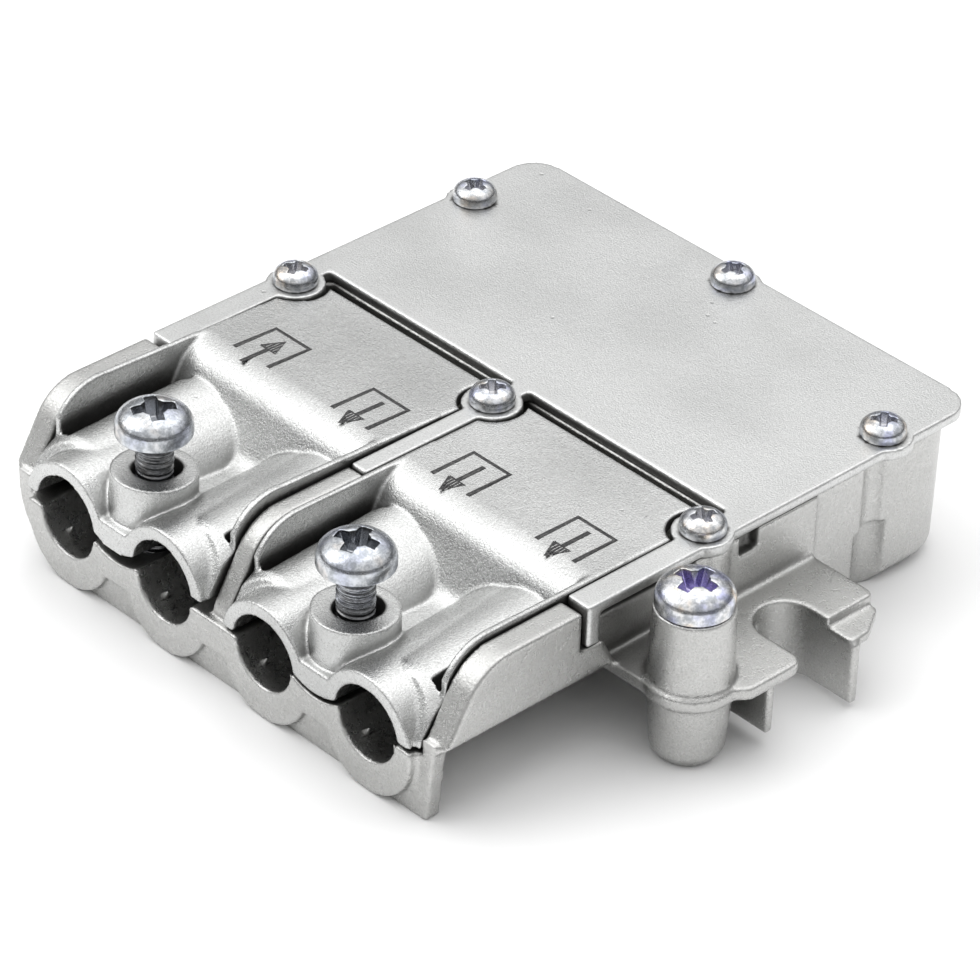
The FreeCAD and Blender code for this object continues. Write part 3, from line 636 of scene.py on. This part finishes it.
# %% Turned shape
def spun(name, outline, steps):
    """Closed mesh of an outline (radius, height) turned about the Z axis."""
    shape = bmesh.new()
    rows = []
    for step in range(steps):
        angle = 2 * math.pi * step / steps
        row = []
        for radius, height in outline[1:-1]:
            row.append(shape.verts.new((radius * math.cos(angle), radius * math.sin(angle), height)))
        rows.append(row)
    foot = shape.verts.new((0, 0, outline[0][1]))
    crown = shape.verts.new((0, 0, outline[-1][1]))
    for row, following in zip(rows, rows[1:] + rows[:1]):
        shape.faces.new((foot, following[0], row[0]))
        for index in range(len(row) - 1):
            shape.faces.new((row[index], following[index], following[index + 1], row[index + 1]))
        shape.faces.new((row[-1], following[-1], crown))
    bmesh.ops.recalc_face_normals(shape, faces=shape.faces)
    mesh = bpy.data.meshes.new(name)
    shape.to_mesh(mesh)
    shape.free()
    return new_piece(name, mesh)


print("lathe ready")


# %% Tools of the cross recess
def tapered_box(name, reach, wing, top, depth):
    """Bar across the axis whose ends and sides draw in towards its bottom."""
    corners = []
    for height, share in ((top - depth, 0.60), (top, 1.0)):
        for x, y in ((-1, -1), (1, -1), (1, 1), (-1, 1)):
            corners.append((x * reach * share, y * wing * (0.6 + 0.4 * share), height))
    faces = [(3, 2, 1, 0), (4, 5, 6, 7), (0, 1, 5, 4), (1, 2, 6, 5), (2, 3, 7, 6), (3, 0, 4, 7)]
    mesh = bpy.data.meshes.new(name)
    mesh.from_pydata(corners, [], faces)
    return new_piece(name, mesh)


def cross_tools(reach, wing, top, depth):
    """Tools of the cross recess: two crossed bars, and a cone that opens its middle."""
    bars = [tapered_box("bar", reach, wing, top, depth) for turn in range(2)]
    bars[1].data.transform(Matrix.Rotation(math.pi / 2, 4, "Z"))
    cone = spun("cone", [
        (0, top - depth),
        (wing * 0.9, top - depth),
        (reach * 0.62, top),
        (0, top),
    ], 24)
    return bars + [cone]


def cut_away(piece, tools):
    """Cut convex tools out of a closed piece, one after the other, and discard them."""
    for tool in tools:
        cut = piece.modifiers.new("cut", "BOOLEAN")
        cut.operation = "DIFFERENCE"
        cut.solver = "EXACT"
        cut.object = tool
        settle(piece)
        bpy.data.objects.remove(tool)
    return piece


print("recess tools ready")

# %% Screw sizes as shares of the head or the pitch
core_share = 0.32
crown_share = 0.30
side_share = 0.36
cross_reach = 0.62
cross_wing = 0.17
cross_top = 1.15
cross_depth = 0.85
crown_steps = 8


# %% A whole screw
def screw_outline(core, length, head_radius, head_height, pitch):
    """Outline (radius, height) of shank and head, from the tip up to the crown."""
    outline = [
        (0, -length),
        (core * 0.6, -length),
        (core, -length + core * 0.4),
        (core, -pitch * 1.2),
        (core * 1.05, 0),
        (head_radius * 0.95, 0),
        (head_radius, head_height * 0.06),
        (head_radius, head_height * side_share),
    ]
    for step in range(1, crown_steps + 1):
        angle = math.radians(90 * step / crown_steps)
        rise = head_height * (side_share + (1 - side_share) * math.sin(angle))
        outline.append((head_radius * (crown_share + (1 - crown_share) * math.cos(angle)), rise))
    return outline + [(0, head_height)]


def pan_screw(name, radius, length, head_radius, head_height, pitch, voxel, most):
    """Pan-head screw with its head seated at height zero and its tip pointing down."""
    core = radius - pitch * core_share
    blank = spun("screw_blank", screw_outline(core, length, head_radius, head_height, pitch), 72)
    rule = thread_rule(core, pitch, length - pitch * 2.2)
    ridge = rule.grow("thread_ridge", points_mesh("thread_start", [(0, 0, 0)]), deep_shade_plating)
    ridge.data.transform(Matrix.Translation((0, 0, -length + pitch * 0.8)))
    cut_away(blank, cross_tools(head_radius * cross_reach, head_radius * cross_wing,
                                head_height * cross_top, head_height * cross_depth))
    whole = joined(name, [blank, ridge])
    for part in (blank, ridge):
        bpy.data.objects.remove(part)
    return soften(whole, voxel, 3, most)


print("screw shop ready")

# %% [markdown]
# ### Clamp and ground screws
#
# The three large screws are of the standard four-millimetre size. The two clamp screws are slack, so
# they stand proud and the thread shows under their heads. The recess depth and dome are taken as
# shares of the head, so that large and small screws share one recipe.

# %% Large screws
large_radius = 2.0 * mm
large_head = (4.0 * mm, 3.1 * mm)
large_pitch = 0.7 * mm
large_voxel = 0.075 * mm
large_turns = {"clamp_screw_left": 62, "clamp_screw_right": 20, "ground_screw": 8}
for node, turn in large_turns.items():
    low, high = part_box(node)
    length = high.z - low.z - large_head[1]
    screw = pan_screw(node + "_turned", large_radius, length, *large_head, large_pitch, large_voxel, 45000)
    centre = Vector(((low.x + high.x) / 2, (low.y + high.y) / 2, high.z - large_head[1]))
    screw.data.transform(Matrix.Translation(centre) @ Matrix.Rotation(math.radians(turn), 4, "Z"))
    plating = tinted_plating if node == "ground_screw" else deep_shade_plating
    finished.append((screw, plating, slot_of[node], node, [node]))

# %% [markdown]
# ### Lid screws
#
# The six small screws are one screw set at six places by a rule that turns each by its own angle.

# %% Lid screw rule
def scatter_rule(model):
    """A model set at every point, turned about Z by the point's own angle."""
    rule = Rule("lid_screws", {"Model": model})
    info = rule.node("GeometryNodeObjectInfo", {"transform_space": "ORIGINAL"},
                     {"Object": rule.size("Model")}, output="Geometry")
    angle = rule.node("GeometryNodeInputNamedAttribute", {"data_type": "FLOAT"}, {"Name": "turn"})
    rotation = rule.node("ShaderNodeCombineXYZ", None, {"Z": angle})
    points = rule.node("GeometryNodeMeshToPoints", None, {"Mesh": rule.size("Geometry")})
    placed = rule.node("GeometryNodeInstanceOnPoints", None, {
        "Points": points,
        "Instance": info,
        "Rotation": rotation,
    })
    rule.end(placed)
    return rule


print("lid screw rule ready")

# %% Lid screws
small_head = (2.4 * mm, 1.9 * mm)
small_radius = 1.25 * mm
small_length = 8.0 * mm
small_pitch = 0.5 * mm
small_voxel = 0.06 * mm
small_screw = pan_screw(
    "small_screw", small_radius, small_length, *small_head, small_pitch, small_voxel, 20000)
small_turns = [25, 50, 70, 5, 40, 80]
lid_nodes = ["cover_screw_%d" % number for number in range(1, 7)]
places = []
for node in lid_nodes:
    low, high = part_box(node)
    places.append(((low.x + high.x) / 2, (low.y + high.y) / 2, high.z - small_head[1]))
turns = [math.radians(turn) for turn in small_turns]
lid_screws = scatter_rule(small_screw).grow(
    "lid_screws", points_mesh("lid_screw_places", places, turn=turns), faint_shade_plating)
bpy.data.objects.remove(small_screw)
finished.append((lid_screws, faint_shade_plating, slot_of[lid_nodes[0]], "body", lid_nodes))
print("lid screws:", triangle_count(lid_screws), "triangles")

# %% [markdown]
# ## Port teeth
#
# Two small cones stand in the floor of each port and bite into the cable. They are set by a rule
# too: a cone at every point, turned to the direction kept with the point.

# %% Tooth rule
tooth_height = 1.0 * mm
tooth_radius = 0.55 * mm
tooth_setback = 2.2 * mm
tooth_angles = [math.radians(235), math.radians(305)]
tooth_point_share = 0.12
tooth_length_share = 1.3
tooth_sink_share = 0.3


def teeth_rule():
    """Blunt cone at every point, along the direction kept with the point."""
    rule = Rule("port_teeth", {"Radius": tooth_radius, "Height": tooth_height})
    cone = rule.node("GeometryNodeMeshCone", {"fill_type": "NGON"}, {
        "Vertices": 20,
        "Radius Top": rule.size("Radius") * tooth_point_share,
        "Radius Bottom": rule.size("Radius"),
        "Depth": rule.size("Height") * tooth_length_share,
    })
    way = rule.node("GeometryNodeInputNamedAttribute", {"data_type": "FLOAT_VECTOR"}, {"Name": "way"})
    rotation = rule.node("FunctionNodeAlignRotationToVector", {"axis": "Z"}, {"Vector": way})
    points = rule.node("GeometryNodeMeshToPoints", None, {"Mesh": rule.size("Geometry")})
    placed = rule.node("GeometryNodeInstanceOnPoints", None, {
        "Points": points,
        "Instance": cone,
        "Rotation": rotation,
    })
    rule.end(placed)
    return rule


print("tooth rule ready")

# %% Port teeth
roots = []
ways = []
for port in ports:
    for angle in tooth_angles:
        outward = Vector((math.cos(angle), 0, math.sin(angle)))
        centre = Vector((port["pos_m"][0], port_front + tooth_setback, port["pos_m"][2]))
        roots.append(centre + outward * (port_radius + tooth_height * tooth_sink_share))
        ways.append(-outward)
teeth = teeth_rule().grow("port_teeth", points_mesh("tooth_places", roots, way=ways), body_metal)
finished.append((teeth, body_metal, slot_of["chassis"], "body", []))
print("teeth:", len(roots))

# %% [markdown]
# ## Sheltered corners
#
# What makes a casting look deep is that its gaps, holes and inner corners are darker than light
# alone would make them, and here that shade is painted into their colour. So every point is asked
# how sheltered it is. A fan of short rays leaves it, each along the normal plus one of many even
# directions, which favours the middle of the fan. The share of rays that meet metal, near hits
# counting most, is kept as an attribute that the materials read to paint the shade. The metal that
# is met is all pieces at once, so the lid also shelters the wall below it.

# %% Shelter rule
shelter_reach = 8 * mm
shelter_rays = 32
shelter_lift = 0.05 * mm


def even_directions(count):
    """Unit vectors spread evenly over a sphere, one after another along a spiral."""
    golden_turn = math.pi * (3 - math.sqrt(5))
    directions = []
    for index in range(count):
        z = 1 - (2 * index + 1) / count
        ring = math.sqrt(1 - z * z)
        directions.append((ring * math.cos(golden_turn * index), ring * math.sin(golden_turn * index), z))
    return directions


def shelter_rule(surroundings):
    """Keep at every point the share of close metal round it, from 0 to 1."""
    rule = Rule("shelter", {"Surroundings": surroundings, "Reach": shelter_reach})
    target = rule.node("GeometryNodeObjectInfo", {"transform_space": "ORIGINAL"},
                       {"Object": rule.size("Surroundings")}, output="Geometry")
    normal = rule.node("GeometryNodeInputNormal")
    start = rule.node("ShaderNodeVectorMath", {"operation": "MULTIPLY_ADD"}, {
        0: normal,
        1: (shelter_lift, shelter_lift, shelter_lift),
        2: rule.node("GeometryNodeInputPosition"),
    })
    total = 0.0
    for direction in even_directions(shelter_rays):
        way = rule.node("ShaderNodeVectorMath", {"operation": "ADD"}, {0: normal, 1: direction})
        ray = {
            "Target Geometry": target,
            "Source Position": start,
            "Ray Direction": way,
            "Ray Length": rule.size("Reach"),
        }
        distance = rule.node("GeometryNodeRaycast", None, ray, output="Hit Distance")
        hit = Signal(rule, distance.socket.node.outputs["Is Hit"])
        share = distance / rule.size("Reach")
        total = hit * (1.0 - share * share) + total
    kept = rule.node("GeometryNodeStoreNamedAttribute", {"data_type": "FLOAT", "domain": "POINT"}, {
        "Geometry": rule.size("Geometry"),
        "Name": "shelter",
        "Value": total / float(shelter_rays),
    })
    rule.end(kept)
    return rule


print("shelter rays:", shelter_rays)

# %% Shelter measured and pieces dressed
surroundings = joined("surroundings", [entry[0] for entry in finished])
measure = shelter_rule(surroundings)
for piece, material, slot, body, nodes in finished:
    name, mesh = piece.name, piece.data
    bpy.data.objects.remove(piece)
    dress(measure.grow(name, mesh, material), material, slot, body, *nodes)
bpy.data.objects.remove(surroundings)
print("sheltered and dressed:", len(finished))

# %% [markdown]
# ## Port symbols
#
# A plain arrow in a bracket beside each port tells the entry from the exits. The laser draws each
# symbol as strokes, and fills the arrow head with close lines. So a symbol is a few lines on the
# clamp's flat top, and a rule gives them their width.

# %% Symbol sizes
symbol_centre = 0.73 * mm
symbol_rows = (23.9 * mm, 29.6 * mm)
stroke_width = 0.56 * mm
hatch_width = 0.25 * mm
mark_height = 0.02 * mm
bracket_half_width = 2.6
bracket_half_length = 2.85
arrow_middle = -1.2
arrow_half = 3.05
head_length = 2.4
head_half = 1.1
hatch_lines = 5
inward_port = 1
print("strokes", round(stroke_width / mm, 2), "and", round(hatch_width / mm, 2), "mm wide")


# %% Stroke rule
def stroke_rule(width):
    """Flat ribbon along every line."""
    rule = Rule("laser_strokes", {"Width": width, "Height": mark_height})
    line = rule.node("GeometryNodeMeshToCurve", None, {"Mesh": rule.size("Geometry")})
    section = rule.node("GeometryNodeCurvePrimitiveQuadrilateral", {"mode": "RECTANGLE"}, {
        "Width": rule.size("Width"),
        "Height": rule.size("Height"),
    })
    ribbon = rule.node("GeometryNodeCurveToMesh", None, {
        "Curve": line,
        "Profile Curve": section,
        "Fill Caps": True,
    })
    rule.end(ribbon)
    return rule


print("stroke rule ready")


# %% One symbol
def symbol_lines(inward):
    """Bracket and arrow as (x, y) lines in millimetres about the symbol's own middle."""
    bracket = [
        (-bracket_half_width, -bracket_half_length),
        (-bracket_half_width, bracket_half_length),
        (bracket_half_width, bracket_half_length),
        (bracket_half_width, -bracket_half_length),
    ]
    way = 1 if inward else -1
    tip = arrow_middle + way * arrow_half
    base = tip - way * head_length
    stem = [(0, base), (0, arrow_middle - way * arrow_half)]
    fine = [[(-head_half, base), (0, tip), (head_half, base), (-head_half, base)]]
    for step in range(hatch_lines):
        x = head_half * (2 * (step + 1) / (hatch_lines + 1) - 1)
        fine.append([(x, base), (x, tip - way * head_length * abs(x) / head_half)])
    return [bracket, stem], fine


def on_clamp(joint_name, x, y):
    """Place on the clamp's top, lifted with the clamp about its hinge, as it is at rest."""
    joint = joints[joint_name]
    hinge = Vector(joint["pos_m"])
    lifted = math.radians(-joint["range_deg"][0])
    point = Vector((x, y, lid_top + mark_height / 2)) - Vector((x, hinge.y, hinge.z))
    return Matrix.Rotation(-lifted, 3, "X") @ point + Vector((x, hinge.y, hinge.z))


print("symbol ready")


# %% Symbols on the clamps
def marks_for(clamp, numbers):
    """Symbols of a clamp's ports, on the clamp's own body."""
    lines = []
    hatches = []
    for number in numbers:
        wide, fine = symbol_lines(number == inward_port)
        port_x = ports[number - 1]["pos_m"][0]
        middle_y = port_front + sum(symbol_rows) / 2
        for group, kept in ((wide, lines), (fine, hatches)):
            for line in group:
                kept.append([
                    on_clamp(clamp + "_hinge", port_x + symbol_centre + x * mm, middle_y + y * mm)
                    for x, y in line
                ])
    made = []
    for width, group in ((stroke_width, lines), (hatch_width, hatches)):
        points = []
        edges = []
        for line in group:
            edges += [(len(points) + step, len(points) + step + 1) for step in range(len(line) - 1)]
            points += line
        start = points_mesh("stroke_lines", points, edges)
        made.append(stroke_rule(width).grow("strokes", start, mark_metal))
    marks = joined(clamp + "_symbols", made)
    for piece in made:
        bpy.data.objects.remove(piece)
    return dress(marks, mark_metal, slot_of[clamp], clamp)


marks_for("clamp_left", (1, 2))
marks_for("clamp_right", (3, 4))
print("symbols drawn")

# %% [markdown]
# ## Studio
#
# The part stands on a white table in a white tent, which is bright above, dim at the sides and
# brighter towards the rear left, so that the walls of the part come out darker than its top. One
# panel at the left front and one high above draw the broad highlights along the barrels. The panels
# stand high, which keeps the table's shadow close round the part. What is seen past the table is
# plain white, to the camera and from above to the metal too, and costs the part no light.

# %% Table
table_half = 3.0


def white_table():
    """Wide white square at height zero, outside the part."""
    corners = [(-table_half, -table_half, 0), (table_half, -table_half, 0),
               (table_half, table_half, 0), (-table_half, table_half, 0)]
    mesh = bpy.data.meshes.new("table")
    mesh.from_pydata(corners, [], [(0, 1, 2, 3)])
    table = new_piece("table", mesh)
    white = Finish("white_table", Roughness=0.9)
    drift = white.noise(400 * mm)
    white.set(Base_Color=white.blend(drift, (0.96, 0.96, 0.96, 1.0), (0.97, 0.97, 0.97, 1.0)))
    mesh.materials.append(white.material)
    return table


print("staged:", white_table().name)

# %% Tent and panels
def tent(level, low_share, rear_left, background):
    """World that is white where it is seen, and dims towards the sides and the right front."""
    world = bpy.data.worlds.new("tent")
    bpy.context.scene.world = world
    world.use_nodes = True
    graph = Graph(world.node_tree)
    world.node_tree.nodes.clear()
    rays = world.node_tree.nodes.new("ShaderNodeLightPath")
    camera, glossy, clear = [Signal(graph, rays.outputs["Is %s Ray" % kind])
                             for kind in ("Camera", "Glossy", "Transmission")]
    way = graph.node("ShaderNodeTexCoord", output="Generated")
    right, rear, rise = [graph.node("ShaderNodeSeparateXYZ", None, {"Vector": way}, output=axis)
                         for axis in "XYZ"]
    above = rise.between(0.15, 0.85)
    seen = camera + clear + glossy * above
    glow = (above * (1.0 - low_share) + low_share) * level * (1.0 + (rear - right) * rear_left)
    light = graph.node("ShaderNodeBackground", None, {"Color": (1, 1, 1, 1), "Strength": glow})
    white = graph.node("ShaderNodeBackground", None, {"Color": (1, 1, 1, 1), "Strength": background})
    mixed = graph.node("ShaderNodeMixShader", None, {0: seen.clamped(), 1: light, 2: white})
    graph.node("ShaderNodeOutputWorld", None, {"Surface": mixed})


def panel(name, place, size, power):
    """Square soft light that faces the part."""
    lamp = bpy.data.lights.new(name, "AREA")
    lamp.shape = "SQUARE"
    lamp.size = size
    lamp.energy = power
    light = bpy.data.objects.new(name, lamp)
    bpy.context.scene.collection.objects.link(light)
    way = Vector(place) - Vector((0, 0, 0.01))
    light.matrix_world = Matrix.Translation(place) @ way.to_track_quat("Z", "Y").to_matrix().to_4x4()
    return light


tent(1.24, 0.08, 0.30, 1.0)
panel("left_front_panel", (-0.50, -0.40, 0.62), 0.70, 2.6)
panel("rear_top_panel", (-0.10, 0.28, 0.92), 0.90, 2.6)
bpy.context.scene.view_settings.view_transform = "Standard"
